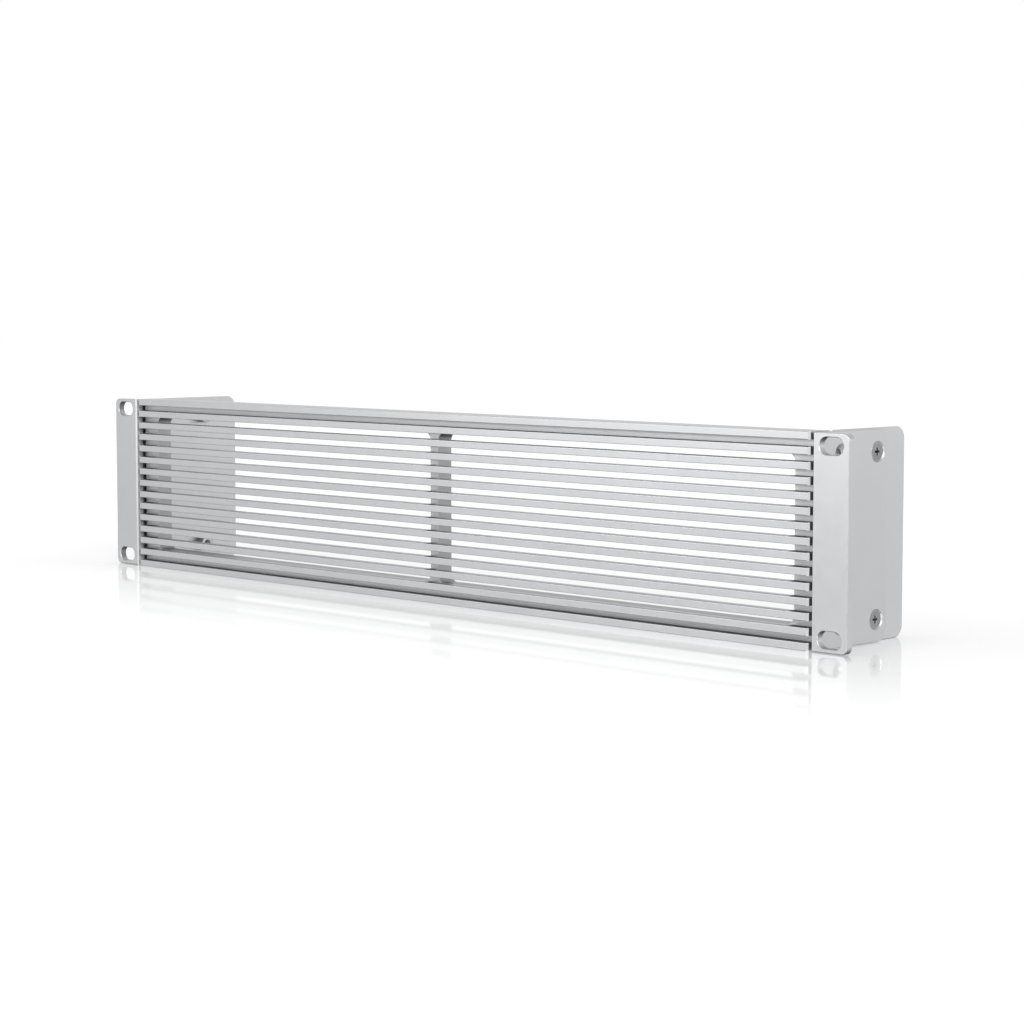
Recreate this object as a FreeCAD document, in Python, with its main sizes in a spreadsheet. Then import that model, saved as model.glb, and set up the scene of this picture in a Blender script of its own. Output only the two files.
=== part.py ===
import FreeCAD, Part
import Sketcher
import os

# Vented 2U blanking panel: a finned grille between two rack ears.
# Frame: +X to the right along the panel, +Y to the back, +Z up, in millimetres.
# Origin: the middle of the slot pattern, on the ears' back faces, which meet the rack's posts.

doc = FreeCAD.newDocument("vented_blanking_panel")
sheet = doc.addObject("Spreadsheet::Sheet", "sizes")

driving_sizes = [
    # front grille
    ("fin_count", 15, "level fins, the top and bottom rails included"),
    ("fin_pitch", 5.975, "from one fin to the next"),
    ("fin_height", 3.2, "of one fin"),
    ("fin_depth", 4.72, "from the fin's front to its root"),
    ("fin_edge_radius", 0.35, "on the fin's front edges"),
    ("fin_end_chamfer", 0.85, "on the fin's front ends"),
    ("grille_length", 443.4, "of the grille, end to end"),
    ("base_thickness", 8.55, "of the base behind the fins"),
    ("end_rail_width", 10.7, "of the base beside each window"),
    ("centre_rib_width", 5.1, "of the base between the windows"),
    ("window_rail_height", 9.025, "of the base above and below each window"),
    ("window_corner_radius", 4.0, "of the window's milled corners"),
    ("window_edge_break", 0.3, "on the windows' and the base's back edges"),
    # rack ears
    ("overall_width", 482.6, "across both ears"),
    ("ear_thickness", 3.5, "of the ear's plate"),
    ("ear_setback", 0.225, "of the ear's top and bottom from the grille's"),
    ("ear_corner_radius", 2.8, "of the ear's outer corners"),
    ("ear_edge_chamfer", 0.6, "on the ear's inner front edge"),
    ("ear_edge_radius", 0.35, "on the ear's outer front edge"),
    ("ear_root_radius", 0.8, "between the ear's back and the flange"),
    ("ear_edge_break", 0.25, "on the slots' rims and the flange's edges"),
    ("shadow_gap", 1.7, "between the grille's end and the ear"),
    ("slot_spacing_wide", 465.1, "between the left and right slots"),
    ("slot_spacing_high", 76.2, "between the upper and lower slots"),
    ("slot_length", 12.0, "end to end"),
    ("slot_width", 7.0, "of each slot"),
    ("flange_thickness", 3.7, "where it lies on the side plate"),
    ("flange_length", 42.7, "back from the ear"),
    ("flange_corner_radius", 5.0, "of the flange's back corners"),
    ("relief_clearance", 0.3, "between the grille's back and the flange's thick part"),
    ("sink_diameter", 8.7, "of the flange's countersinks"),
    ("flange_hole_diameter", 4.3, "of the flange's holes"),
    ("screw_setback", 35.8, "of the flange's back holes, from the ear"),
    ("spare_setback", 2.73, "of the flange's front holes, from the grille's back"),
    ("screw_spacing", 68.0, "between upper and lower flange holes"),
    # side plates
    ("plate_thickness", 2.1, "of the side plate and its tab"),
    ("plate_length", 48.7, "back from the grille"),
    ("plate_corner_radius", 5.0, "of the side plate's corners"),
    ("plate_edge_break", 0.2, "on the side plate's edges"),
    ("tab_reach", 8.0, "of the tab, from the plate's outer face"),
    ("tab_height", 64.0, "of the tab"),
    ("tab_bend_radius", 0.6, "inside the tab's bend"),
    ("tab_notch_height", 1.2, "of the notches beside the bend"),
    ("tab_notch_depth", 4.6, "of the notches beside the bend"),
    ("tab_screw_offset", 5.35, "of the tab's holes, from the plate's outer face"),
    ("tab_screw_pitch", 18.0, "between neighbouring tab holes"),
    ("tab_hole_diameter", 2.8, "of the tab's holes"),
    ("tab_sink_diameter", 4.7, "of the tab's countersinks"),
    # fixings
    ("ear_screw_head", 7.8, "diameter of the ear screw's head"),
    ("ear_screw_shank", 3.2, "diameter of the ear screw's shank"),
    ("ear_screw_length", 6.4, "of the ear screw, head included"),
    ("ear_screw_recess", 4.2, "across the ear screw's cross recess"),
    ("ear_screw_recess_arm", 1.1, "width of one arm of that recess"),
    ("ear_screw_recess_depth", 1.7, "of that recess"),
    ("nut_diameter", 7.8, "of the clinch nut"),
    ("nut_height", 4.5, "of the clinch nut, inside the plate"),
    ("nut_bore", 3.3, "diameter of the clinch nut's hole"),
    ("nut_pilot_diameter", 5.5, "of the nut's neck in the plate"),
    ("nut_chamfer", 0.4, "on the nut's inner end"),
    ("nut_lead_in", 0.3, "at the inner end of the nut's hole"),
    ("grille_screw_head", 4.5, "diameter of the grille screw's head"),
    ("grille_screw_shank", 2.4, "diameter of the grille screw's shank"),
    ("grille_screw_length", 8.0, "of the grille screw, head included"),
    ("grille_screw_recess", 2.5, "across the grille screw's cross recess"),
    ("grille_screw_recess_arm", 0.66, "width of one arm of that recess"),
    ("grille_screw_recess_depth", 1.0, "of that recess"),
    ("recess_taper", -12, "of a recess's walls, in degrees, below zero to narrow inwards"),
    ("screw_tip_chamfer", 0.35, "on the end of a screw's shank"),
    ("grille_hole_diameter", 2.5, "of the holes in the grille's end rails"),
    ("grille_hole_depth", 7.0, "of those holes"),
    ("fit_clearance", 0.05, "between a fixing and its seat"),
]

for row, (alias, value, meaning) in enumerate(driving_sizes, start=1):
    sheet.set("A%d" % row, meaning)
    sheet.set("B%d" % row, str(value))
    sheet.setAlias("B%d" % row, alias)
doc.recompute()

# places worked out from the driving sizes, as expressions
grille_end = "(sizes.grille_length / 2)"
grille_height = "((sizes.fin_count - 1) * sizes.fin_pitch + sizes.fin_height)"
window_height = "(%s - 2 * sizes.window_rail_height)" % grille_height
ear_height = "(%s - 2 * sizes.ear_setback)" % grille_height
front_face = "(-sizes.ear_thickness)"
fin_root = "(%s + sizes.fin_depth)" % front_face
grille_back = "(%s + sizes.base_thickness)" % fin_root
ear_inner_end = "(%s + sizes.shadow_gap)" % grille_end
flange_outer = "(%s + sizes.flange_thickness)" % grille_end
plate_inner = "(%s - sizes.plate_thickness)" % grille_end
tab_back = "(%s + sizes.plate_thickness)" % grille_back
tab_screw_across = "(%s - sizes.tab_screw_offset)" % grille_end
tab_screw_levels = ["(%s * sizes.tab_screw_pitch)" % step for step in (-1.5, -0.5, 0.5, 1.5)]
flange_hole_levels = {"upper": "(sizes.screw_spacing / 2)", "lower": "(-sizes.screw_spacing / 2)"}


def measure(expression):
    return float(sheet.evalExpression(expression))


def new_body(label):
    body = doc.addObject("PartDesign::Body", label)
    body.Label = label
    return body


def origin_feature(body, role):
    return next(item for item in body.Origin.OriginFeatures if item.Role == role)


def new_sketch(body, name, plane, offset=None):
    sketch = body.newObject("Sketcher::SketchObject", name)
    sketch.AttachmentSupport = [(origin_feature(body, plane), "")]
    sketch.MapMode = "FlatFace"
    if offset:
        sketch.setExpression("AttachmentOffset.Base.z", offset)
    return sketch


def bind(sketch, kind, reference, expression):
    # adds one dimension; those along an axis keep a positive value
    value = measure(expression)
    if kind in ("DistanceX", "DistanceY"):
        if abs(value) < 1e-9:
            axis = -2 if kind == "DistanceX" else -1
            sketch.addConstraint(Sketcher.Constraint("PointOnObject", *reference, axis))
            return
        points = (-1, 1) + reference if value > 0 else reference + (-1, 1)
        expression = expression if value > 0 else "-(%s)" % expression
    else:
        points = reference
    number = sketch.addConstraint(Sketcher.Constraint(kind, *points, abs(value)))
    sketch.setExpression("Constraints[%d]" % number, expression)


def draw_outline(sketch, sides, radii):
    # A closed outline of upright and level sides in turn. A side is its place across or up.
    # radii[i] rounds the corner between side i and the next one, or is None for a sharp corner.
    count = len(sides)
    level = [kind == "level" for kind, place in sides]
    places = [measure(place) for kind, place in sides]
    corners = []
    for i in range(count):
        j = (i + 1) % count
        corners.append((places[j], places[i]) if level[i] else (places[i], places[j]))
    corners = [FreeCAD.Vector(across, up, 0) for across, up in corners]
    ways = [(corners[i] - corners[i - 1]).normalize() for i in range(count)]
    rounds = [measure(radius) if radius else 0.0 for radius in radii]
    lines = []
    for i, (kind, place) in enumerate(sides):
        start = corners[i - 1] + ways[i] * rounds[i - 1]
        end = corners[i] - ways[i] * rounds[i]
        line = sketch.addGeometry(Part.LineSegment(start, end), False)
        sketch.addConstraint(Sketcher.Constraint("Horizontal" if level[i] else "Vertical", line))
        bind(sketch, "DistanceY" if level[i] else "DistanceX", (line, 1), place)
        lines.append(line)
    for i in range(count):
        j = (i + 1) % count
        if not rounds[i]:
            sketch.addConstraint(Sketcher.Constraint("Coincident", lines[i], 2, lines[j], 1))
            continue
        first = corners[i] - ways[i] * rounds[i]
        last = corners[i] + ways[j] * rounds[i]
        middle = corners[i] + (ways[j] - ways[i]) * rounds[i]
        bulge = middle + (corners[i] - middle).normalize() * rounds[i]
        arc = sketch.addGeometry(Part.Arc(first, bulge, last), False)
        turns_left = ways[i].cross(ways[j]).z > 0
        meets = (1, 2) if turns_left else (2, 1)
        sketch.addConstraint(Sketcher.Constraint("Tangent", lines[i], 2, arc, meets[0]))
        sketch.addConstraint(Sketcher.Constraint("Tangent", lines[j], 1, arc, meets[1]))
        bind(sketch, "Radius", (arc,), radii[i])


def draw_circle(sketch, across, up, diameter):
    centre = FreeCAD.Vector(measure(across), measure(up), 0)
    normal = FreeCAD.Vector(0, 0, 1)
    circle = sketch.addGeometry(Part.Circle(centre, normal, measure(diameter) / 2), False)
    bind(sketch, "DistanceX", (circle, 3), across)
    bind(sketch, "DistanceY", (circle, 3), up)
    bind(sketch, "Diameter", (circle,), diameter)


def draw_slot(sketch, across, up, length, width):
    # a level slot with round ends, placed by the centres of its ends
    reach = "((%s - %s) / 2)" % (length, width)
    radius = measure(width) / 2
    rise = FreeCAD.Vector(0, radius, 0)
    run = FreeCAD.Vector(radius, 0, 0)
    right = FreeCAD.Vector(measure(across) + measure(reach), measure(up), 0)
    left = FreeCAD.Vector(measure(across) - measure(reach), measure(up), 0)
    right_end = sketch.addGeometry(Part.Arc(right - rise, right + run, right + rise), False)
    top = sketch.addGeometry(Part.LineSegment(right + rise, left + rise), False)
    left_end = sketch.addGeometry(Part.Arc(left + rise, left - run, left - rise), False)
    bottom = sketch.addGeometry(Part.LineSegment(left - rise, right - rise), False)
    around = (right_end, top, left_end, bottom)
    for here, following in zip(around, around[1:] + around[:1]):
        sketch.addConstraint(Sketcher.Constraint("Tangent", here, 2, following, 1))
    for end, sign in ((right_end, "+"), (left_end, "-")):
        bind(sketch, "DistanceX", (end, 3), "(%s %s %s)" % (across, sign, reach))
        bind(sketch, "DistanceY", (end, 3), up)
    bind(sketch, "Radius", (right_end,), "%s / 2" % width)


def draw_profile(sketch, corners):
    # a closed outline with straight sides, each corner placed by its distances from the origin
    points = [FreeCAD.Vector(measure(across), measure(up), 0) for across, up in corners]
    lines = []
    for i, point in enumerate(points):
        following = points[(i + 1) % len(points)]
        lines.append(sketch.addGeometry(Part.LineSegment(point, following), False))
    for i, (across, up) in enumerate(corners):
        sketch.addConstraint(Sketcher.Constraint("Coincident", lines[i - 1], 2, lines[i], 1))
        bind(sketch, "DistanceX", (lines[i], 1), across)
        bind(sketch, "DistanceY", (lines[i], 1), up)


def add_pad(body, sketch, name, length, symmetric=False):
    pad = body.newObject("PartDesign::Pad", name)
    pad.Profile = sketch
    if symmetric:
        pad.SideType = "Symmetric"
    pad.setExpression("Length", length)
    doc.recompute()
    return pad


def add_pocket(body, sketch, name, length=None, reverse=False):
    # with no length it cuts right through, both ways
    before = body.Shape.Volume
    pocket = body.newObject("PartDesign::Pocket", name)
    pocket.Profile = sketch
    pocket.Reversed = reverse
    if length:
        pocket.setExpression("Length", length)
    else:
        pocket.SideType = "Symmetric"
        pocket.Type = "ThroughAll"
    doc.recompute()
    if not body.Shape.Volume < before:
        raise RuntimeError("%s cuts nothing" % name)
    return pocket


def add_revolution(body, sketch, name):
    turned = body.newObject("PartDesign::Revolution", name)
    turned.Profile = sketch
    turned.ReferenceAxis = (sketch, ["V_Axis"])
    turned.Angle = 360
    doc.recompute()
    return turned


def edges_on(feature, radius=None, heights=None, **places):
    # names of the edges that keep the given coordinates, of the circles of a given radius there,
    # or of those that stay between two heights
    wanted = {axis: measure(place) for axis, place in places.items()}
    lowest, highest = [measure(height) for height in heights] if heights else (-1e6, 1e6)
    names = []
    for number, edge in enumerate(feature.Shape.Edges, start=1):
        points = edge.discretize(3)
        kept = all(abs(getattr(point, axis) - place) < 1e-4
                   for point in points for axis, place in wanted.items())
        kept = kept and all(lowest - 1e-4 < point.z < highest + 1e-4 for point in points)
        is_circle = isinstance(edge.Curve, Part.Circle)
        if radius:
            kept = kept and is_circle and abs(edge.Curve.Radius - measure(radius)) < 1e-4
        if kept:
            names.append("Edge%d" % number)
    if not names:
        raise RuntimeError("no edge found on %s" % feature.Label)
    return names


def dress(body, kind, name, edges, size):
    base = body.Tip
    feature = body.newObject("PartDesign::" + kind, name)
    feature.Base = (base, edges)
    feature.setExpression("Radius" if kind == "Fillet" else "Size", size)
    doc.recompute()
    return feature


def mirrored(source, label):
    # the left piece is the right one seen across the panel's middle
    copy = doc.addObject("Part::Mirroring", label)
    copy.Source = source
    copy.Normal = FreeCAD.Vector(1, 0, 0)
    copy.Label = label
    return copy


def place(body, across, back, up, turn):
    body.Placement = FreeCAD.Placement(FreeCAD.Vector(), turn)
    body.setExpression("Placement.Base.x", across)
    body.setExpression("Placement.Base.y", back)
    body.setExpression("Placement.Base.z", up)


def make_front_grille():
    body = new_body("front_grille")
    top = "(%s / 2)" % grille_height
    bottom = "(-%s / 2)" % grille_height

    base = new_sketch(body, "grille_base", "YZ_Plane")
    draw_outline(base, [("upright", grille_back), ("level", top),
                        ("upright", fin_root), ("level", bottom)], [None] * 4)
    add_pad(body, base, "base_block", "sizes.grille_length", symmetric=True)

    profile = new_sketch(body, "fin_profile", "YZ_Plane")
    draw_outline(profile, [("upright", fin_root), ("level", "(%s + sizes.fin_height)" % bottom),
                           ("upright", front_face), ("level", bottom)],
                 [None, "sizes.fin_edge_radius", "sizes.fin_edge_radius", None])
    lowest_fin = add_pad(body, profile, "lowest_fin", "sizes.grille_length", symmetric=True)
    fins = body.newObject("PartDesign::LinearPattern", "fins")
    fins.Originals = [lowest_fin]
    fins.Direction = (origin_feature(body, "Z_Axis"), [""])
    fins.setExpression("Length", "(sizes.fin_count - 1) * sizes.fin_pitch")
    fins.setExpression("Occurrences", "sizes.fin_count")
    body.Tip = fins
    doc.recompute()

    ends = new_sketch(body, "fin_ends", "XY_Plane")
    for side in ("", "-"):
        tip = "%s%s" % (side, grille_end)
        inboard = "%s(%s - sizes.fin_end_chamfer)" % (side, grille_end)
        draw_profile(ends, [(tip, front_face), (inboard, front_face),
                            (tip, "(%s + sizes.fin_end_chamfer)" % front_face)])
    add_pocket(body, ends, "end_chamfers")

    windows = new_sketch(body, "window_outlines", "XZ_Plane", "-%s" % grille_back)
    window_end = "(%s - sizes.end_rail_width)" % grille_end
    window_start = "(sizes.centre_rib_width / 2)"
    corner = "sizes.window_corner_radius"
    for right_side, left_side in ((window_end, window_start), ("-" + window_start, "-" + window_end)):
        draw_outline(windows, [("upright", right_side), ("level", "(%s / 2)" % window_height),
                               ("upright", left_side), ("level", "(-%s / 2)" % window_height)],
                     [corner] * 4)
    add_pocket(body, windows, "windows", "sizes.base_thickness", reverse=True)

    holes = new_sketch(body, "screw_holes", "XZ_Plane", "-%s" % grille_back)
    for side in ("", "-"):
        for level in tab_screw_levels:
            draw_circle(holes, side + tab_screw_across, level, "sizes.grille_hole_diameter")
    add_pocket(body, holes, "rail_holes", "sizes.grille_hole_depth", reverse=True)

    # one edge of each window is enough, because a chamfer follows the edges that run on smoothly
    back_edges = [name for level in (top, bottom, "(%s / 2)" % window_height)
                  for name in edges_on(body.Tip, y=grille_back, z=level)]
    back_edges += [name for side in ("", "-")
                   for name in edges_on(body.Tip, x=side + grille_end, y=grille_back)]
    dress(body, "Chamfer", "back_edges", back_edges, "sizes.window_edge_break")
    return body


def make_right_rack_ear():
    body = new_body("right_rack_ear")
    outer_end = "(sizes.overall_width / 2)"
    relief_back = "(%s + sizes.relief_clearance)" % grille_back

    # seen from above: the ear, and a flange that steps in behind the grille to meet the side plate
    plan = new_sketch(body, "ear_plan", "XY_Plane")
    draw_outline(plan, [("level", front_face), ("upright", outer_end), ("level", "0"),
                        ("upright", flange_outer), ("level", "sizes.flange_length"),
                        ("upright", grille_end), ("level", relief_back),
                        ("upright", ear_inner_end)],
                 [None, None, "sizes.ear_root_radius", None, None, None, None, None])
    add_pad(body, plan, "ear_and_flange", ear_height, symmetric=True)

    slots = new_sketch(body, "slot_outlines", "XZ_Plane")
    for sign in ("", "-"):
        draw_slot(slots, "(sizes.slot_spacing_wide / 2)", "(%ssizes.slot_spacing_high / 2)" % sign,
                  "sizes.slot_length", "sizes.slot_width")
    add_pocket(body, slots, "slots")
    slot_rims = []
    for sign in ("", "-"):
        level = "(%ssizes.slot_spacing_high / 2)" % sign
        slot_heights = ("%s - sizes.slot_width / 2" % level, "%s + sizes.slot_width / 2" % level)
        for face in (front_face, "0"):
            slot_rims += edges_on(body.Tip, heights=slot_heights, y=face)
    dress(body, "Chamfer", "slot_rims", slot_rims, "sizes.ear_edge_break")

    holes = new_sketch(body, "flange_hole_outlines", "YZ_Plane", flange_outer)
    for level in flange_hole_levels.values():
        for setback in ("sizes.screw_setback", "(%s + sizes.spare_setback)" % grille_back):
            draw_circle(holes, setback, level, "sizes.flange_hole_diameter")
    add_pocket(body, holes, "flange_holes", "sizes.flange_thickness")
    rims = edges_on(body.Tip, radius="sizes.flange_hole_diameter / 2", x=flange_outer)
    dress(body, "Chamfer", "countersinks", rims,
          "(sizes.sink_diameter - sizes.flange_hole_diameter) / 2")

    levels = ("(%s / 2)" % ear_height, "(-%s / 2)" % ear_height)
    ear_corners = [name for level in levels for name in edges_on(body.Tip, x=outer_end, z=level)]
    dress(body, "Fillet", "ear_corners", ear_corners, "sizes.ear_corner_radius")
    flange_corners = [name for level in levels
                      for name in edges_on(body.Tip, y="sizes.flange_length", z=level)]
    dress(body, "Fillet", "flange_corners", flange_corners, "sizes.flange_corner_radius")
    flange_edges = [name for face in (flange_outer, grille_end)
                    for name in edges_on(body.Tip, x=face, y="sizes.flange_length")]
    dress(body, "Chamfer", "flange_edges", flange_edges, "sizes.ear_edge_break")
    dress(body, "Chamfer", "inner_edge", edges_on(body.Tip, x=ear_inner_end, y=front_face),
          "sizes.ear_edge_chamfer")
    dress(body, "Fillet", "outer_edge", edges_on(body.Tip, x=outer_end, y=front_face),
          "sizes.ear_edge_radius")
    return body


def make_right_side_plate():
    body = new_body("right_side_plate")
    top = "(%s / 2)" % grille_height
    bottom = "(-%s / 2)" % grille_height
    half_tab = "(sizes.tab_height / 2)"
    plate_back = "(%s + sizes.plate_length)" % grille_back

    plate = new_sketch(body, "plate_outline", "YZ_Plane", plate_inner)
    draw_outline(plate, [("upright", plate_back), ("level", top),
                         ("upright", grille_back), ("level", bottom)],
                 ["sizes.plate_corner_radius"] * 4)
    add_pad(body, plate, "plate", "sizes.plate_thickness")

    tab = new_sketch(body, "tab_plan", "XY_Plane")
    draw_outline(tab, [("upright", grille_end), ("level", tab_back),
                       ("upright", "(%s - sizes.tab_reach)" % grille_end), ("level", grille_back)],
                 [None] * 4)
    add_pad(body, tab, "tab", "sizes.tab_height", symmetric=True)

    notches = new_sketch(body, "notch_outlines", "YZ_Plane")
    notch_back = "(%s + sizes.tab_notch_depth)" % grille_back
    for low, high in ((half_tab, "(%s + sizes.tab_notch_height)" % half_tab),
                      ("-(%s + sizes.tab_notch_height)" % half_tab, "-" + half_tab)):
        draw_outline(notches, [("upright", notch_back), ("level", high),
                               ("upright", grille_back), ("level", low)], [None] * 4)
    add_pocket(body, notches, "bend_notches")

    holes = new_sketch(body, "nut_holes", "YZ_Plane", grille_end)
    for level in flange_hole_levels.values():
        draw_circle(holes, "sizes.screw_setback", level,
                    "(sizes.nut_pilot_diameter + 2 * sizes.fit_clearance)")
    add_pocket(body, holes, "nut_seats", "sizes.plate_thickness")

    tab_holes = new_sketch(body, "tab_hole_outlines", "XZ_Plane", "-%s" % tab_back)
    for level in tab_screw_levels:
        draw_circle(tab_holes, tab_screw_across, level, "sizes.tab_hole_diameter")
    add_pocket(body, tab_holes, "tab_holes", "sizes.plate_thickness", reverse=True)
    rims = edges_on(body.Tip, radius="sizes.tab_hole_diameter / 2", y=tab_back)
    dress(body, "Chamfer", "tab_countersinks", rims,
          "(sizes.tab_sink_diameter - sizes.tab_hole_diameter) / 2")

    dress(body, "Fillet", "bend_inside", edges_on(body.Tip, x=plate_inner, y=tab_back),
          "sizes.tab_bend_radius")
    bend_edges = edges_on(body.Tip, heights=("-" + half_tab, half_tab), x=grille_end, y=grille_back)
    dress(body, "Fillet", "bend_outside", bend_edges, "sizes.tab_bend_radius + sizes.plate_thickness")
    plate_edges = [name for face in (plate_inner, grille_end)
                   for name in edges_on(body.Tip, x=face, y=plate_back)]
    dress(body, "Chamfer", "plate_edges", plate_edges, "sizes.plate_edge_break")
    return body


def make_countersunk_screw(label, kind):
    # the head's face is at the body's origin and the shank runs down
    body = new_body(label)
    head, shank, length, recess, arm, depth = [
        "sizes.%s_%s" % (kind, size)
        for size in ("head", "shank", "length", "recess", "recess_arm", "recess_depth")]
    profile = new_sketch(body, label + "_profile", "XZ_Plane")
    cone = "(%s - %s) / 2" % (head, shank)
    tip = "sizes.screw_tip_chamfer"
    draw_profile(profile, [("0", "0"), ("%s / 2" % head, "0"), ("%s / 2" % shank, "-(%s)" % cone),
                           ("%s / 2" % shank, "-(%s - %s)" % (length, tip)),
                           ("(%s / 2 - %s)" % (shank, tip), "-%s" % length), ("0", "-%s" % length)])
    add_revolution(body, profile, label + "_turned")

    # the cross recess narrows as it goes in
    cross = new_sketch(body, label + "_cross", "XY_Plane")
    end = "(%s / 2)" % recess
    half = "(%s / 2)" % arm
    quarter = [(end, half), (half, half), (half, end)]
    turned = [quarter, [("-" + up, across) for across, up in quarter],
              [("-" + across, "-" + up) for across, up in quarter],
              [(up, "-" + across) for across, up in quarter]]
    draw_profile(cross, [corner for corners in turned for corner in corners])
    hollow = add_pocket(body, cross, label + "_recess", depth)
    hollow.setExpression("TaperAngle", "sizes.recess_taper")
    doc.recompute()
    return body


def make_clinch_nut(label):
    # the plate's inner face is at the body's origin, with the neck above and the nut below
    body = new_body(label)
    profile = new_sketch(body, label + "_profile", "XZ_Plane")
    bore = "sizes.nut_bore / 2"
    neck = "sizes.nut_pilot_diameter / 2"
    rim = "sizes.nut_diameter / 2"
    neck_top = "(sizes.plate_thickness - sizes.fit_clearance)"
    draw_profile(profile, [(bore, neck_top), (bore, "-(sizes.nut_height - sizes.nut_lead_in)"),
                           ("(%s + sizes.nut_lead_in)" % bore, "-sizes.nut_height"),
                           ("(%s - sizes.nut_chamfer)" % rim, "-sizes.nut_height"),
                           (rim, "-(sizes.nut_height - sizes.nut_chamfer)"), (rim, "0"),
                           (neck, "0"), (neck, neck_top)])
    add_revolution(body, profile, label + "_turned")
    return body


right_rack_ear = make_right_rack_ear()
right_side_plate = make_right_side_plate()
pieces = [make_front_grille(),
          right_rack_ear, mirrored(right_rack_ear, "left_rack_ear"),
          right_side_plate, mirrored(right_side_plate, "left_side_plate")]

head_outwards = {"right": FreeCAD.Rotation(FreeCAD.Vector(0, 1, 0), 90),
                 "left": FreeCAD.Rotation(FreeCAD.Vector(0, 1, 0), -90)}
head_backwards = FreeCAD.Rotation(FreeCAD.Vector(1, 0, 0), -90)
# a head that is smaller than its countersink sits below the surface, clear of the cone by the fit
head_depth = "(sizes.%s - sizes.%s) / 2 - 2 * sizes.fit_clearance"
ear_screw_depth = head_depth % ("sink_diameter", "ear_screw_head")
grille_screw_depth = head_depth % ("tab_sink_diameter", "grille_screw_head")
ear_screw_face = "(%s - (%s))" % (flange_outer, ear_screw_depth)
grille_screw_face = "(%s - (%s))" % (tab_back, grille_screw_depth)

for side, sign in (("right", ""), ("left", "-")):
    for height, level in flange_hole_levels.items():
        screw = make_countersunk_screw("%s_%s_ear_screw" % (side, height), "ear_screw")
        place(screw, sign + ear_screw_face, "sizes.screw_setback", level, head_outwards[side])
        nut = make_clinch_nut("%s_%s_clinch_nut" % (side, height))
        place(nut, sign + plate_inner, "sizes.screw_setback", level, head_outwards[side])
        pieces += [screw, nut]
    for number, level in enumerate(tab_screw_levels, start=1):
        screw = make_countersunk_screw("%s_grille_screw_%d" % (side, number), "grille_screw")
        place(screw, sign + tab_screw_across, grille_screw_face, level, head_backwards)
        pieces.append(screw)

doc.recompute()
for item in doc.Objects:
    if "Invalid" in item.State or "Error" in item.State:
        raise RuntimeError("%s failed: %s" % (item.Label, item.State))
for piece in pieces:
    shape = piece.Shape
    if shape.isNull() or not shape.isValid() or len(shape.Solids) != 1:
        raise RuntimeError("%s isn't one valid solid" % piece.Label)

os.makedirs("parts", exist_ok=True)
for piece in pieces:
    piece.Shape.exportStep("parts/%s.step" % piece.Label)
    box = piece.Shape.optimalBoundingBox(True, False)
    print("%-26s %9.1f mm3  x %8.2f %8.2f  y %6.2f %6.2f  z %7.2f %7.2f" % (
        piece.Label, piece.Shape.Volume, box.XMin, box.XMax, box.YMin, box.YMax, box.ZMin, box.ZMax))
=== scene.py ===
import bpy
import bmesh
import math
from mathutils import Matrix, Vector


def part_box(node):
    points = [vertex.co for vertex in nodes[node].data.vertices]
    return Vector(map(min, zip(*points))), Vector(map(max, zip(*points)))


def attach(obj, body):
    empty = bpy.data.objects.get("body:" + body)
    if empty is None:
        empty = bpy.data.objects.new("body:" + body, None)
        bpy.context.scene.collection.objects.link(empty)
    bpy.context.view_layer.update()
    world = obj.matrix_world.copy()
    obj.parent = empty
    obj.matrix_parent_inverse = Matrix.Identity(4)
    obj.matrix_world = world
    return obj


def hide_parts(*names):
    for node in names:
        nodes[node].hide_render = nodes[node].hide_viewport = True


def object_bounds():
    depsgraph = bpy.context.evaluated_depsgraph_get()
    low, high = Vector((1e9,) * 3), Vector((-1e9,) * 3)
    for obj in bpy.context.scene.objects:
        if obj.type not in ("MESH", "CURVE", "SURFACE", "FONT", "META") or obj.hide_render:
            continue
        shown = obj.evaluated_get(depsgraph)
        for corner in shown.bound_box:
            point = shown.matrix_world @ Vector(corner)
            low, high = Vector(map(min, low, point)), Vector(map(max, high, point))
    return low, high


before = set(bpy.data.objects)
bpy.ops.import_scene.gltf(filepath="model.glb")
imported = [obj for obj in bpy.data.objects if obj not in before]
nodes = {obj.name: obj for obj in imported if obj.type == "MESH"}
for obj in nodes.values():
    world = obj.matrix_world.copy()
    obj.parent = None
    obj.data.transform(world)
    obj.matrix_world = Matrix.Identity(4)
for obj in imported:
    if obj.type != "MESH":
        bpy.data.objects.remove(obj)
cadLow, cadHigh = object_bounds()
mm = 0.001
print("frame loaded:", len(nodes), "nodes")


# what the modelling below uses again and again
weldGap = 0.0005 * mm  # points nearer than this become one
tinyEdge = 0.002 * mm  # an edge shorter than this goes
sameHeight = 0.002 * mm  # points this near in height are level
sameSpot = 0.01 * mm  # points this near are at the same place
sameWay = 0.9  # cosine between two directions that count as one
flatAngle = math.radians(0.5)  # faces that meet flatter than this become one
sharpAngle = 0.5  # radians, a sharper edge is softened
smoothAngle = math.radians(20)  # the shading runs smoothly over a flatter edge
quarterTurn = math.radians(90)


def pickNothing():
    if bpy.context.object and bpy.context.object.mode != "OBJECT":
        bpy.ops.object.mode_set(mode="OBJECT")
    bpy.ops.object.select_all(action="DESELECT")


def pickOnly(piece):
    pickNothing()
    piece.select_set(True)
    bpy.context.view_layer.objects.active = piece


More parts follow.
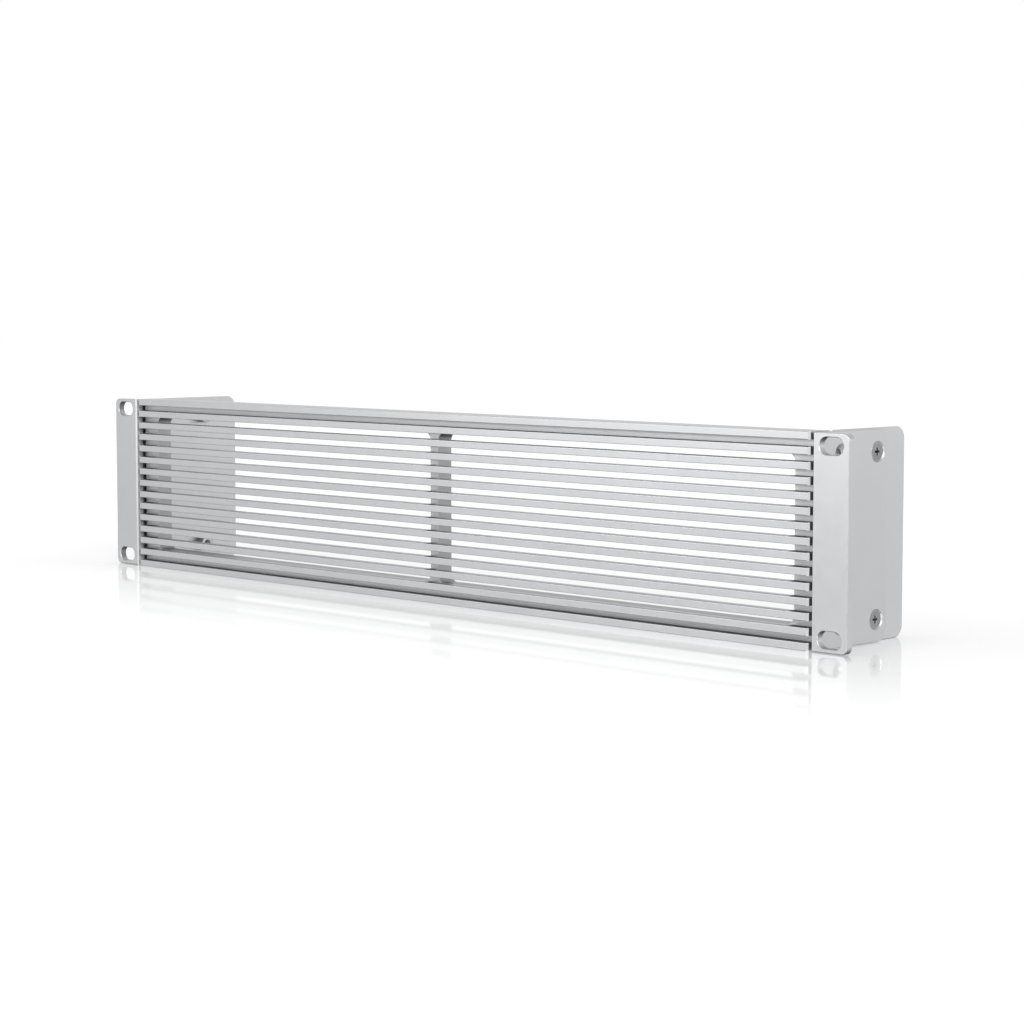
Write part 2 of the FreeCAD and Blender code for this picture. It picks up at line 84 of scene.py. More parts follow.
def turnOnLathe(name, outline, steps):
    # outline: (radius, height) in mm from end to end, drawn by pulling one point along, then spun
    pickNothing()
    bpy.ops.mesh.primitive_plane_add(size=mm)
    piece = bpy.context.object
    piece.name = name
    bpy.ops.object.mode_set(mode="EDIT")
    bpy.ops.mesh.select_mode(type="VERT")
    bpy.ops.mesh.select_all(action="SELECT")
    bpy.ops.mesh.merge(type="CENTER")
    radius, height = outline[0]
    bpy.ops.transform.translate(value=(radius * mm, 0, height * mm))
    for (radius, height), (nextRadius, nextHeight) in zip(outline, outline[1:]):
        pull = ((nextRadius - radius) * mm, 0, (nextHeight - height) * mm)
        bpy.ops.mesh.extrude_region_move(TRANSFORM_OT_translate={"value": pull})
    bpy.ops.mesh.select_all(action="SELECT")
    bpy.ops.mesh.spin(steps=steps, angle=math.tau, center=(0, 0, 0), axis=(0, 0, 1))
    bpy.ops.mesh.select_all(action="SELECT")
    bpy.ops.mesh.remove_doubles(threshold=weldGap)
    bpy.ops.mesh.normals_make_consistent(inside=False)
    bpy.ops.object.mode_set(mode="OBJECT")
    return piece


def cutCross(screw, across, arm, depth, taper):
    # a cross cutter: a block whose four sides are pulled out, narrower at its foot
    pickNothing()
    bpy.ops.mesh.primitive_cube_add(size=1, location=(0, 0, 0))
    cutter = bpy.context.object
    cutter.scale = (arm * mm, arm * mm, 2 * depth * mm)
    bpy.ops.object.transform_apply(location=True, rotation=True, scale=True)
    bpy.ops.object.mode_set(mode="EDIT")
    reach = (across - arm) / 2 * mm
    for way in ((1, 0, 0), (-1, 0, 0), (0, 1, 0), (0, -1, 0)):
        bpy.ops.mesh.select_mode(type="FACE")
        bpy.ops.mesh.select_all(action="DESELECT")
        shape = bmesh.from_edit_mesh(cutter.data)
        for face in shape.faces:
            offSide = face.calc_center_median() - Vector(way) * arm / 2 * mm
            face.select = face.normal.dot(Vector(way)) > sameWay and offSide.length < sameSpot
        bmesh.update_edit_mesh(cutter.data)
        pull = [reach * part for part in way]
        bpy.ops.mesh.extrude_region_move(TRANSFORM_OT_translate={"value": pull})
    bpy.ops.mesh.select_mode(type="VERT")
    bpy.ops.mesh.select_all(action="DESELECT")
    shape = bmesh.from_edit_mesh(cutter.data)
    for corner in shape.verts:
        corner.select = corner.co.z < 0
    shape.select_flush(True)
    bmesh.update_edit_mesh(cutter.data)
    bpy.ops.transform.resize(value=(taper, taper, 1), center_override=(0, 0, 0))
    bpy.ops.object.mode_set(mode="OBJECT")
    pickOnly(screw)
    cut = screw.modifiers.new("crossRecess", "BOOLEAN")
    cut.object = cutter
    cut.operation = "DIFFERENCE"
    cut.solver = "EXACT"
    bpy.ops.object.modifier_apply(modifier=cut.name)
    bpy.data.objects.remove(cutter)
    # the lathe's spokes go from the flat head, so that the recess's rim softens cleanly
    bpy.ops.object.mode_set(mode="EDIT")
    bpy.ops.mesh.select_all(action="SELECT")
    bpy.ops.mesh.dissolve_limited(angle_limit=flatAngle)
    bpy.ops.object.mode_set(mode="OBJECT")


def softenRim(piece, height, radius, width):
    # bevels the sharp edges that lie at one height, within one radius
    pickOnly(piece)
    bpy.ops.object.mode_set(mode="EDIT")
    bpy.ops.mesh.select_mode(type="EDGE")
    bpy.ops.mesh.select_all(action="DESELECT")
    shape = bmesh.from_edit_mesh(piece.data)
    for edge in shape.edges:
        level = all(abs(end.co.z - height * mm) < sameHeight for end in edge.verts)
        inside = all(end.co.xy.length < radius * mm for end in edge.verts)
        sharp = len(edge.link_faces) == 2 and edge.calc_face_angle(0) > sharpAngle
        edge.select = level and inside and sharp
    bmesh.update_edit_mesh(piece.data)
    bpy.ops.mesh.bevel(offset=width * mm, segments=2, affect="EDGES", clamp_overlap=True)
    bpy.ops.mesh.select_all(action="SELECT")
    bpy.ops.mesh.dissolve_degenerate(threshold=tinyEdge)
    bpy.ops.object.mode_set(mode="OBJECT")


def threadOutline(radius, depth, pitch, top, foot):
    # the points of a fine thread's flanks, from its top to its foot
    crestEnd = 0.2 * pitch
    rootStart = 0.55 * pitch
    rootEnd = 0.65 * pitch
    points = []
    height = top
    while height - pitch > foot:
        points += [(radius, height), (radius, height - crestEnd),
                   (radius - depth, height - rootStart), (radius - depth, height - rootEnd)]
        height -= pitch
    return points + [(radius, height)]


def setDown(master, name, place, turn):
    # a copy of a finished piece with a mesh of its own, put in its place and left unturned there
    copy = master.copy()
    copy.data = master.data.copy()
    copy.name = name
    bpy.context.scene.collection.objects.link(copy)
    copy.location = place
    copy.rotation_euler = turn
    pickOnly(copy)
    bpy.ops.object.transform_apply(location=True, rotation=True, scale=True)
    return copy


# single nodes, each with its inputs filled
nearRays = 8  # rays that each point sends out to find what is near


def feed(tree, socket, value):
    # a colour or a number is set on the socket, another node's output is linked to it
    if isinstance(value, tuple):
        socket.default_value = (*value, 1)
    elif isinstance(value, (int, float)):
        socket.default_value = value
    else:
        tree.links.new(value, socket)


def addNoise(tree, vector, scale, detail, rough):
    noise = tree.nodes.new("ShaderNodeTexNoise")
    noise.inputs["Detail"].default_value = detail
    noise.inputs["Roughness"].default_value = rough
    tree.links.new(vector, noise.inputs["Vector"])
    tree.links.new(scale, noise.inputs["Scale"])
    return noise.outputs["Fac"]


def addMath(tree, operation, first, second=0.0):
    node = tree.nodes.new("ShaderNodeMath")
    node.operation = operation
    feed(tree, node.inputs[0], first)
    feed(tree, node.inputs[1], second)
    return node.outputs[0]


def addRange(tree, value, fromLow, fromHigh, toLow, toHigh):
    node = tree.nodes.new("ShaderNodeMapRange")
    socketNames = ("Value", "From Min", "From Max", "To Min", "To Max")
    for socketName, given in zip(socketNames, (value, fromLow, fromHigh, toLow, toHigh)):
        feed(tree, node.inputs[socketName], given)
    return node.outputs["Result"]


def addColourMix(tree, share, first, second):
    # a Mix node has sockets for each kind of value: 6 and 7 in and 2 out are the colours
    node = tree.nodes.new("ShaderNodeMix")
    node.data_type = "RGBA"
    tree.links.new(share, node.inputs[0])
    feed(tree, node.inputs[6], first)
    feed(tree, node.inputs[7], second)
    return node.outputs[2]


def addWeighed(tree, first, second, firstShare):
    firstPart = addMath(tree, "MULTIPLY", first, firstShare)
    return addMath(tree, "ADD", firstPart, addMath(tree, "MULTIPLY", second, 1 - firstShare))


def addBetween(tree, value, low, high):
    # 1 where a length lies between two others, in mm
    above = addMath(tree, "GREATER_THAN", value, low * mm)
    return addMath(tree, "MULTIPLY", above, addMath(tree, "LESS_THAN", value, high * mm))


def addNear(tree, reach):
    # its AO output is 1 in the open, and less where faces stand within reach
    node = tree.nodes.new("ShaderNodeAmbientOcclusion")
    node.samples = nearRays
    feed(tree, node.inputs["Distance"], reach)
    return node


def splitUp(tree, vector):
    node = tree.nodes.new("ShaderNodeSeparateXYZ")
    tree.links.new(vector, node.inputs[0])
    return node.outputs


# shader groups that several finishes share

def newGroup(name, takes, gives):
    group = bpy.data.node_groups.new(name, "ShaderNodeTree")
    for way, sockets in (("INPUT", takes), ("OUTPUT", gives)):
        for socketName, kind in sockets.items():
            group.interface.new_socket(name=socketName, in_out=way, socket_type="NodeSocket" + kind)
    return group, group.nodes.new("NodeGroupInput").outputs, group.nodes.new("NodeGroupOutput").inputs


def makeCloudGroup():
    # slow clouds of tone and sheen, as an etched and anodised face has
    fineTimes = 9.0  # how many times finer the small clouds are
    broadShare = 0.6
    toneSpan = (0.36, 0.64)  # the part of the noise that counts
    roughSpan = (0.3, 0.7)
    group, given, result = newGroup(
        "anodisedClouds",
        {"Vector": "Vector", "Light Tone": "Color", "Dark Tone": "Color", "Cloud Scale": "Float",
         "Rough Low": "Float", "Rough High": "Float"},
        {"Tone": "Color", "Roughness": "Float"})
    broad = addNoise(group, given["Vector"], given["Cloud Scale"], detail=3, rough=0.5)
    fineScale = addMath(group, "MULTIPLY", given["Cloud Scale"], fineTimes)
    fine = addNoise(group, given["Vector"], fineScale, detail=4, rough=0.6)
    share = addRange(group, addWeighed(group, broad, fine, broadShare), *toneSpan, 0.0, 1.0)
    tone = addColourMix(group, share, given["Dark Tone"], given["Light Tone"])
    rough = addRange(group, fine, *roughSpan, given["Rough Low"], given["Rough High"])
    group.links.new(tone, result["Tone"])
    group.links.new(rough, result["Roughness"])
    return group


def makeGrainGroup():
    # the fine pits that bead blasting leaves
    coarseShare = 0.6
    pitSpan = (0.0, 0.6)
    group, given, result = newGroup(
        "blastGrain", {"Vector": "Vector", "Grain Scale": "Float"}, {"Height": "Float"})
    coarse = addNoise(group, given["Vector"], given["Grain Scale"], detail=2, rough=0.55)
    cell = group.nodes.new("ShaderNodeTexVoronoi")
    group.links.new(given["Vector"], cell.inputs["Vector"])
    group.links.new(given["Grain Scale"], cell.inputs["Scale"])
    pits = addRange(group, cell.outputs["Distance"], *pitSpan, 0.0, 1.0)
    group.links.new(addWeighed(group, coarse, pits, coarseShare), result["Height"])
    return group


def makeEdgeGroup():
    # where hands and tools rub: the outer edges, in broken lengths
    edgeSpan = (0.95, 0.45)  # from a flat face to a sharp edge
    breakSpan = (0.35, 0.62)
    leastKept = 0.25
    group, given, result = newGroup(
        "rubbedEdges",
        {"Vector": "Vector", "Edge Width": "Float", "Break Scale": "Float"},
        {"Mask": "Float"})
    near = addNear(group, given["Edge Width"])
    near.inside = True
    near.only_local = True
    edge = addRange(group, near.outputs["AO"], *edgeSpan, 0.0, 1.0)
    breaks = addNoise(group, given["Vector"], given["Break Scale"], detail=3, rough=0.6)
    kept = addRange(group, breaks, *breakSpan, leastKept, 1.0)
    group.links.new(addMath(group, "MULTIPLY", edge, kept), result["Mask"])
    return group


def makePaintedShadeGroup():
    # painted shade: a dark tone on level faces deep between the fins, and under edges, where shade falls
    levelSpan = (0.85, 0.98)  # how far the normal points up
    underSpan = (-0.15, -0.75)
    patchSpan = (0.3, 0.65)
    leastKept = 0.88
    group, given, result = newGroup(
        "paintedCreviceShade",
        {"Vector": "Vector", "Reach": "Float", "Open": "Float", "Shut": "Float", "Upright": "Float",
         "Under": "Float", "Shaded Zones": "Float", "Patch Scale": "Float"},
        {"Mask": "Float"})
    near = addNear(group, given["Reach"])
    deep = addRange(group, near.outputs["AO"], given["Open"], given["Shut"], 0.0, 1.0)
    facing = splitUp(group, group.nodes.new("ShaderNodeNewGeometry").outputs["Normal"])
    level = addRange(group, facing["Z"], *levelSpan, given["Upright"], 1.0)
    under = addRange(group, facing["Z"], *underSpan, 0.0, 1.0)
    levelShade = addMath(group, "MULTIPLY", addMath(group, "MULTIPLY", deep, level), given["Shaded Zones"])
    underShade = addMath(group, "MULTIPLY", under, given["Under"])
    patches = addNoise(group, given["Vector"], given["Patch Scale"], detail=3, rough=0.6)
    kept = addRange(group, patches, *patchSpan, leastKept, 1.0)
    both = addMath(group, "MAXIMUM", levelShade, underShade)
    group.links.new(addMath(group, "MULTIPLY", both, kept), result["Mask"])
    return group


cloudGroup = makeCloudGroup()
grainGroup = makeGrainGroup()
edgeGroup = makeEdgeGroup()
# the painted shade group darkens hollows and undersides as shade would
paintedShadeGroup = makePaintedShadeGroup()


def grillePlaces(tree, coordinates, windows):
    # closed: 1 where the base closes the gap between two fins, 0 where a window opens it
    # inner: 1 from the base's front nearly to its back, where nothing rubs
    # shadedWindowWalls: 1 on the windows' walls, where a darker tone is painted as shade
    place = splitUp(tree, coordinates)
    aside = addMath(tree, "ABSOLUTE", place["X"])
    upward = addMath(tree, "ABSOLUTE", place["Z"])
    onRib = addMath(tree, "LESS_THAN", aside, windows["inner"] * mm)
    onEnd = addMath(tree, "GREATER_THAN", aside, windows["outer"] * mm)
    onRail = addMath(tree, "GREATER_THAN", upward, windows["halfHeight"] * mm)
    closed = addMath(tree, "MAXIMUM", addMath(tree, "MAXIMUM", onRib, onEnd), onRail)
    front, back, margin = windows["front"], windows["back"], windows["margin"]
    inner = addBetween(tree, place["Y"], front - margin, back - windows["rubbedBack"])
    inWidth = addMath(tree, "LESS_THAN", aside, (windows["outer"] + margin) * mm)
    inHeight = addMath(tree, "LESS_THAN", upward, (windows["halfHeight"] + margin) * mm)
    inDepth = addBetween(tree, place["Y"], front + margin, back - margin)
    shadedWindowWalls = addMath(tree, "MULTIPLY", addMath(tree, "MULTIPLY", inWidth, inHeight), inDepth)
    return closed, inner, shadedWindowWalls


def paintedLightPlace(tree, coordinates, edge):
    # 1 on the ear plate's inner edge, which faces the grille's end and is painted pale as if lit
    place = splitUp(tree, coordinates)
    aside = addMath(tree, "ABSOLUTE", place["X"])
    near = addMath(tree, "LESS_THAN", aside, edge["inner"] * mm)
    return addMath(tree, "MULTIPLY", near, addBetween(tree, place["Y"], edge["front"], edge["back"]))


def makeMetal(name, finish):
    material = bpy.data.materials.new(name)
    material.use_nodes = True
    tree = material.node_tree
    shader = tree.nodes["Principled BSDF"]
    shader.inputs["Specular IOR Level"].default_value = 0.0
    coordinates = tree.nodes.new("ShaderNodeTexCoord").outputs["Object"]

    def useGroup(group, values):
        node = tree.nodes.new("ShaderNodeGroup")
        node.node_tree = group
        tree.links.new(coordinates, node.inputs["Vector"])
        for socketName, value in values.items():
            feed(tree, node.inputs[socketName], value)
        return node.outputs

    clouds = useGroup(cloudGroup, {
        "Light Tone": finish["lightTone"], "Dark Tone": finish["darkTone"],
        "Cloud Scale": finish["cloudScale"],
        "Rough Low": finish["roughLow"], "Rough High": finish["roughHigh"]})
    edges = useGroup(edgeGroup, {
        "Edge Width": finish["edgeWidth"] * mm, "Break Scale": finish["edgeBreaks"]})
    grain = useGroup(grainGroup, {"Grain Scale": finish["grainScale"]})
    tone = clouds["Tone"]
    rubbed = addMath(tree, "MULTIPLY", edges["Mask"], finish["edgeShare"])
    shadedZones = 1.0
    under = finish["paintedShadeUnder"]
    if "windows" in finish:
        shadedZones, inner, shadedWindowWalls = grillePlaces(tree, coordinates, finish["windows"])
        rubbed = addMath(tree, "MULTIPLY", rubbed, addMath(tree, "SUBTRACT", 1.0, inner))
        under = addMath(tree, "MULTIPLY", shadedWindowWalls, under)
        # painted shade: the windows' walls are given a darker tone
        tone = addColourMix(tree, shadedWindowWalls, tone, finish["windowWallShadeTone"])
    if "underBack" in finish:
        depth = splitUp(tree, coordinates)["Y"]
        inFront = addMath(tree, "LESS_THAN", depth, finish["underBack"] * mm)
        under = addMath(tree, "MULTIPLY", inFront, under)
    # painted shade: a dark tone laid on level faces deep between the fins and under edges, where shade falls
    paintedShadeOut = useGroup(paintedShadeGroup, {
        "Reach": finish["paintedShadeReach"] * mm, "Open": finish["paintedShadeOpen"], "Shut": finish["paintedShadeShut"],
        "Upright": finish["paintedShadeUpright"], "Under": under, "Shaded Zones": shadedZones,
        "Patch Scale": finish["paintedShadePatches"]})
    paintedShadeAmount = addMath(tree, "MULTIPLY", paintedShadeOut["Mask"], finish["paintedShadeShare"])
    tone = addColourMix(tree, rubbed, tone, finish["edgeTone"])
    tone = addColourMix(tree, paintedShadeAmount, tone, finish["paintedShadeTone"])
    # matte where the painted shade lies, and on the ear's inner edge, which is painted pale as if lit
    bare = addMath(tree, "SUBTRACT", 1.0, paintedShadeAmount)
    # painted light: the ear's inner edge facing the grille's end gets a pale, more matte tone
    if "paintedLightEdge" in finish:
        onPaintedLight = paintedLightPlace(tree, coordinates, finish["paintedLightEdge"])
        tone = addColourMix(tree, onPaintedLight, tone, finish["paintedLightTone"])
        bare = addMath(tree, "MULTIPLY", bare, addRange(tree, onPaintedLight, 0.0, 1.0, 1.0, finish["paintedLightMetal"]))
    smoothed = addMath(tree, "MULTIPLY", rubbed, finish["edgeSheen"])
    rough = addMath(tree, "SUBTRACT", clouds["Roughness"], smoothed)
    bump = tree.nodes.new("ShaderNodeBump")
    bump.inputs["Strength"].default_value = finish["grainStrength"]
    bump.inputs["Distance"].default_value = finish["grainDepth"] * mm
    tree.links.new(grain["Height"], bump.inputs["Height"])
    tree.links.new(tone, shader.inputs["Base Color"])
    tree.links.new(bare, shader.inputs["Metallic"])
    tree.links.new(rough, shader.inputs["Roughness"])
    tree.links.new(bump.outputs["Normal"], shader.inputs["Normal"])
    return material


# finishes: tones and shares from 0 to 1, scales per metre, widths, depths, reaches and places in mm
# the film keys set the painted shade in hollows and under edges
satinFinish = {
    "lightTone": (0.450, 0.457, 0.467), "darkTone": (0.425, 0.432, 0.441), "cloudScale": 24.0,
    "roughLow": 0.38, "roughHigh": 0.45, "grainScale": 3200.0, "grainStrength": 0.25, "grainDepth": 0.05,
    "edgeWidth": 0.7, "edgeShare": 0.25, "edgeTone": (0.70, 0.705, 0.715), "edgeSheen": 0.08,
    "edgeBreaks": 260.0, "paintedShadeReach": 6.0, "paintedShadeOpen": 0.9, "paintedShadeShut": 0.6, "paintedShadeUpright": 0.0,
    "paintedShadeUnder": 0.95, "paintedShadeShare": 1.0, "paintedShadeTone": (0.12, 0.121, 0.124), "paintedShadePatches": 140.0}
grilleWindows = {  # the same left and right
    "inner": 2.55, "outer": 211.0, "halfHeight": 34.4, "front": 1.22, "back": 9.77, "margin": 0.05,
    "rubbedBack": 1.0}  # the base's back edges are rubbed this deep
# the windows' walls get a darker tone, painted shade
grilleFinish = dict(satinFinish, windows=grilleWindows, windowWallShadeTone=(0.285, 0.289, 0.295))
earFinish = dict(
    satinFinish, cloudScale=18.0, edgeShare=0.15,
    underBack=2.0,  # no painted shade under the flange's holes, behind this
    # the ear's inner edge is painted pale, standing in for light
    paintedLightEdge={"inner": 223.45, "front": -3.0, "back": 0.5}, paintedLightTone=(0.62, 0.625, 0.635), paintedLightMetal=0.2)
plateFinish = dict(satinFinish, lightTone=(0.458, 0.465, 0.475), darkTone=(0.433, 0.440, 0.449))
screwFinish = {
    "lightTone": (0.24, 0.243, 0.247), "darkTone": (0.20, 0.203, 0.207), "cloudScale": 120.0,
    "roughLow": 0.26, "roughHigh": 0.36, "grainScale": 5200.0, "grainStrength": 0.15, "grainDepth": 0.03,
    "edgeWidth": 0.35, "edgeShare": 0.6, "edgeTone": (0.62, 0.62, 0.63), "edgeSheen": 0.06,
    "edgeBreaks": 260.0, "paintedShadeReach": 1.2, "paintedShadeOpen": 0.75, "paintedShadeShut": 0.3, "paintedShadeUpright": 1.0,
    "paintedShadeUnder": 0.3, "paintedShadeShare": 0.8, "paintedShadeTone": (0.06, 0.06, 0.063), "paintedShadePatches": 140.0}
nutFinish = dict(screwFinish, lightTone=(0.40, 0.405, 0.41), darkTone=(0.35, 0.355, 0.36))

earMetal = makeMetal("anodisedEars", earFinish)
plateMetal = makeMetal("anodisedPlates", plateFinish)
nutMetal = makeMetal("platedNuts", nutFinish)
screwMetal = makeMetal("platedScrews", screwFinish)
grilleMetal = makeMetal("anodisedGrille", grilleFinish)
# the first word that a node's name holds gives its metal
metalByWord = {"rack_ear": earMetal, "side_plate": plateMetal, "nut": nutMetal, "screw": screwMetal,
               "grille": grilleMetal}
for name, node in nodes.items():
    node.data.materials.clear()
    node.data.materials.append(next(metal for word, metal in metalByWord.items() if word in name))
print("finishes made")


# screws and nuts, one of each kind modelled at the origin, head up, then copied; sizes in mm
screwShape = {
    "coneRound": 0.05, "runOut": 0.15, "threadGap": 0.5,
    "pointIn": 0.35, "pointUp": 0.36,
    "recessTaper": 0.52, "recessSoft": 0.09, "softReach": 0.55}  # the reach is a share of the recess
earScrew = dict(
    screwShape, head=7.8, shank=3.2, length=6.4, recess=4.2, arm=1.12, recessDepth=1.7,
    rim=((0.09, 0), (0.03, 0.06), (0.06, 0.19)),  # in from the head's edge, down from its face
    pitch=0.6, threadDepth=0.25, steps=64)
grilleScrew = dict(
    screwShape, head=4.5, shank=2.4, length=8.0, recess=2.5, arm=0.68, recessDepth=1.0,
    rim=((0.09, 0), (0.03, 0.06), (0.06, 0.15)),
    pitch=0.45, threadDepth=0.2, steps=48)
clinchNut = {
    "diameter": 7.8, "height": 4.5, "bore": 3.3, "neck": 5.5, "neckHeight": 2.05,
    "neckRound": 0.1, "rimRound": 0.15,
    "chamfer": ((0, 0.5), (0.04, 0.35), (0.4, 0.05), (0.52, 0)),  # in from the rim, up from the foot
    "leadIn": 0.3, "threadGap": 0.2, "pitch": 0.6, "threadDepth": 0.22, "steps": 64}


def modelScrew(name, size, material):
    head = size["head"] / 2
    shank = size["shank"] / 2
    tip = -size["length"]
    coneFoot = shank - head
    gap = size["threadGap"]
    outline = [(0, 0)]
    outline += [(head - inward, -down) for inward, down in size["rim"]]
    outline += [(shank + size["coneRound"], coneFoot), (shank, coneFoot - size["runOut"])]
    outline += threadOutline(shank, size["threadDepth"], size["pitch"], coneFoot - gap, tip + gap)
    outline += [(shank, tip + size["pointUp"]), (shank - size["pointIn"], tip), (0, tip)]
    screw = turnOnLathe(name, outline, size["steps"])
    cutCross(screw, size["recess"], size["arm"], size["recessDepth"], size["recessTaper"])
    softenRim(screw, 0.0, size["softReach"] * size["recess"], size["recessSoft"])
    pickOnly(screw)
    bpy.ops.object.shade_smooth_by_angle(angle=smoothAngle)
    screw.data.materials.append(material)
    return screw


def modelNut(name, size, material):
    rim = size["diameter"] / 2
    bore = size["bore"] / 2
    neck = size["neck"] / 2
    top = size["neckHeight"]
    foot = -size["height"]
    leadIn = size["leadIn"]
    gap = size["threadGap"]
    outline = [(bore, top), (neck - size["neckRound"], top), (neck, top - size["neckRound"]), (neck, 0),
               (rim - size["rimRound"], 0), (rim, -size["rimRound"])]
    outline += [(rim - inward, foot + up) for inward, up in size["chamfer"]]
    outline += [(bore + leadIn, foot), (bore, foot + leadIn)]
    # the inner thread is drawn as an outer one on the far side, then turned over
    thread = threadOutline(-bore, size["threadDepth"], size["pitch"], -foot - leadIn - gap, gap - top)
    outline += [(-radius, -height) for radius, height in thread]
    outline += [(bore, top)]
    nut = turnOnLathe(name, outline, size["steps"])
    bpy.ops.object.shade_smooth_by_angle(angle=smoothAngle)
    nut.data.materials.append(material)
    return nut


screwMaster = modelScrew("earScrewMaster", earScrew, screwMetal)
smallScrewMaster = modelScrew("grilleScrewMaster", grilleScrew, screwMetal)
nutMaster = modelNut("clinchNutMaster", clinchNut, nutMetal)
print("screws and nuts modelled")

sideKinds = (("ear_screw", screwMaster, "screw_steel"), ("clinch_nut", nutMaster, "nut_steel"))
smallTurns = {"right": (8, -23, 41, -6), "left": (17, 33, -12, 27)}  # degrees, as the driver left each
for side, way in (("right", 1), ("left", -1)):
    for level in ("upper", "lower"):
        for kind, master, slot in sideKinds:
            nodeName = f"{side}_{level}_{kind}"
            low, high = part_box(nodeName)
            middle = (low + high) / 2
            outerX, innerX = (high.x, low.x) if way > 0 else (low.x, high.x)
            if kind == "ear_screw":
                middle.x = outerX
            else:
                middle.x = innerX + way * clinchNut["height"] * mm
            piece = setDown(master, nodeName + "_detail", middle, (0, way * quarterTurn, 0))
            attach(piece, "root")
            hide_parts(nodeName)
    for number, spin in enumerate(smallTurns[side], 1):
        nodeName = f"{side}_grille_screw_{number}"
        low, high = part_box(nodeName)
        middle = (low + high) / 2
        middle.y = high.y
        turn = (-quarterTurn, math.radians(spin), 0)
        piece = setDown(smallScrewMaster, nodeName + "_detail", middle, turn)
        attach(piece, "root")
        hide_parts(nodeName)
for master in (screwMaster, smallScrewMaster, nutMaster):
    bpy.data.objects.remove(master)
print("screws and nuts in place")


# floor, world, lamps and camera
white = (1, 1, 1, 1)
floorLook = {
    "size": 12.0, "colour": (0.25, 0.25, 0.25), "rough": 0.9,  # the size is in metres
    "lift": 1.0, "shade": 0.79,  # the white that is seen in the open, and at a wall's foot
    "wallFoot": 0.5, "shadeReach": 30.0,  # the open share at a wall's foot, and how far in mm the shade goes
    "gloss": 0.52, "glossRough": 0.06, "glossReach": 200.0}  # mm from the object to where the polish ends
worldLook = {"seen": 1.0, "ambient": 0.06}
lampLook = {  # place and aim in mm, width and height in mm, watts
    "leftKey": {"place": (-2217, -1996, 314), "aim": (0, 0, 0), "size": (2356, 628), "power": 3.2},
    "lowStrip": {"place": (0, -350, 130), "aim": (50, 0, 20), "size": (600, 90), "power": 0.8},
    "frontFill": {"place": (0, -2800, 1020), "aim": (0, 0, 0), "size": (2000, 628), "power": 3.0},
    "cameraFill": {"place": (1620, -1500, 250), "aim": (0, 0, 0), "size": (800, 600), "power": 0.6},
    "rightFront": {"place": (2330, -1350, 1250), "aim": (0, 0, 0), "size": (2000, 628), "power": 50.0},
    "backRight": {"place": (2180, 2035, 314), "aim": (0, 0, 0), "size": (2356, 628), "power": 5.0}}
cameraLook = {  # place, lens and sensor in mm, turn in degrees, near and far in metres
    "place": (829.28, -763.68, 94.58), "turn": (85.10, -0.02, 45.51), "lens": 86.82, "sensor": 36.0,
    "near": 0.01, "far": 50.0}


def seenRays(tree):
    # 1 for what the camera sees, straight or in metal or glass
    rays = tree.nodes.new("ShaderNodeLightPath").outputs
    seen = addMath(tree, "ADD", rays["Is Camera Ray"], rays["Is Glossy Ray"])
    seen = addMath(tree, "ADD", seen, rays["Is Transmission Ray"])
    return addMath(tree, "MINIMUM", seen, 1.0)


pickNothing()
bpy.ops.mesh.primitive_plane_add(size=floorLook["size"], location=(0, 0, cadLow.z))
floor = bpy.context.object
floor.name = "floor"
floorMaterial = bpy.data.materials.new("paleFloor")
floorMaterial.use_nodes = True
tree = floorMaterial.node_tree
matte = tree.nodes["Principled BSDF"]
matte.inputs["Base Color"].default_value = (*floorLook["colour"], 1)
matte.inputs["Roughness"].default_value = floorLook["rough"]
matte.inputs["Specular IOR Level"].default_value = 0.0
matte.inputs["Emission Color"].default_value = white
# painted contact shadow: the seen white dims beside the object's foot
near = addNear(tree, floorLook["shadeReach"] * mm)
lift = addRange(tree, near.outputs["AO"], floorLook["wallFoot"], 1.0, floorLook["shade"], floorLook["lift"])
tree.links.new(addMath(tree, "MULTIPLY", seenRays(tree), lift), matte.inputs["Emission Strength"])
polish = tree.nodes.new("ShaderNodeBsdfGlossy")
polish.inputs["Roughness"].default_value = floorLook["glossRough"]
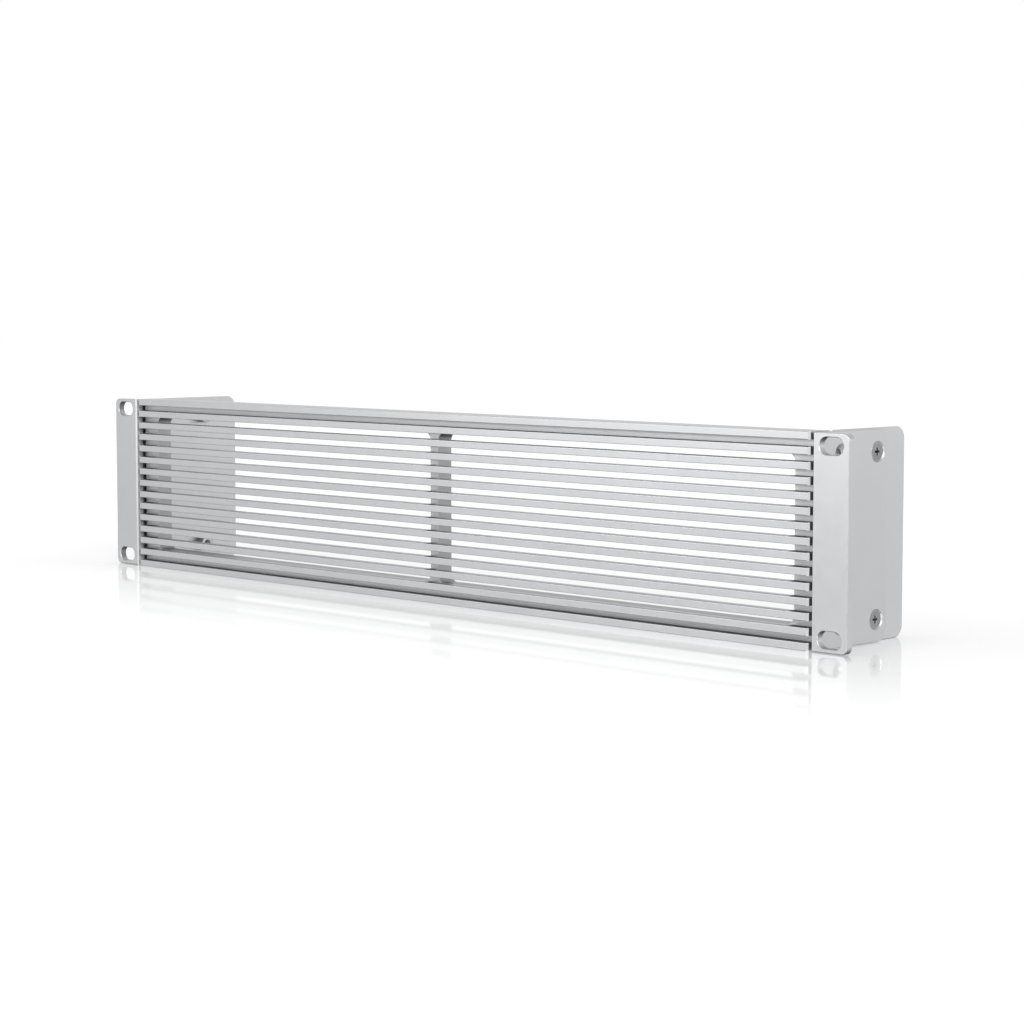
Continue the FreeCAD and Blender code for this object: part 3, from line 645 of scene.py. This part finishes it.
# how far a floor point is from the object's foot
spot = splitUp(tree, tree.nodes.new("ShaderNodeTexCoord").outputs["Object"])
away = []
for axis, low, high in (("X", cadLow.x, cadHigh.x), ("Y", cadLow.y, cadHigh.y)):
    offset = addMath(tree, "ABSOLUTE", addMath(tree, "SUBTRACT", spot[axis], (low + high) / 2))
    outside = addMath(tree, "MAXIMUM", addMath(tree, "SUBTRACT", offset, (high - low) / 2), 0.0)
    away.append(addMath(tree, "MULTIPLY", outside, outside))
distance = addMath(tree, "SQRT", addMath(tree, "ADD", away[0], away[1]))
share = addRange(tree, distance, 0.0, floorLook["glossReach"] * mm, floorLook["gloss"], 0.0)
blend = tree.nodes.new("ShaderNodeMixShader")
tree.links.new(share, blend.inputs[0])
tree.links.new(matte.outputs[0], blend.inputs[1])
tree.links.new(polish.outputs[0], blend.inputs[2])
tree.links.new(blend.outputs[0], tree.nodes["Material Output"].inputs["Surface"])
floor.data.materials.append(floorMaterial)

world = bpy.data.worlds.new("studioWorld")
bpy.context.scene.world = world
world.use_nodes = True
tree = world.node_tree
background = tree.nodes["Background"]
background.inputs["Color"].default_value = white
light = addRange(tree, seenRays(tree), 0.0, 1.0, worldLook["ambient"], worldLook["seen"])
tree.links.new(light, background.inputs["Strength"])

for name, look in lampLook.items():
    data = bpy.data.lights.new(name, "AREA")
    data.shape = "RECTANGLE"
    data.size = look["size"][0] * mm
    data.size_y = look["size"][1] * mm
    data.energy = look["power"]
    lamp = bpy.data.objects.new(name, data)
    bpy.context.scene.collection.objects.link(lamp)
    lamp.location = Vector(look["place"]) * mm
    toward = Vector(look["aim"]) - Vector(look["place"])
    lamp.rotation_euler = toward.to_track_quat("-Z", "Y").to_euler()
    lamp.visible_camera = False

cameraData = bpy.data.cameras.new("photoCamera")
camera = bpy.data.objects.new("photoCamera", cameraData)
bpy.context.scene.collection.objects.link(camera)
camera.location = Vector(cameraLook["place"]) * mm
camera.rotation_euler = [math.radians(angle) for angle in cameraLook["turn"]]
cameraData.lens = cameraLook["lens"]
cameraData.sensor_width = cameraLook["sensor"]
cameraData.clip_start = cameraLook["near"]
cameraData.clip_end = cameraLook["far"]
bpy.context.scene.camera = camera
bpy.context.scene.view_settings.view_transform = "Standard"
print("floor, light and camera set")
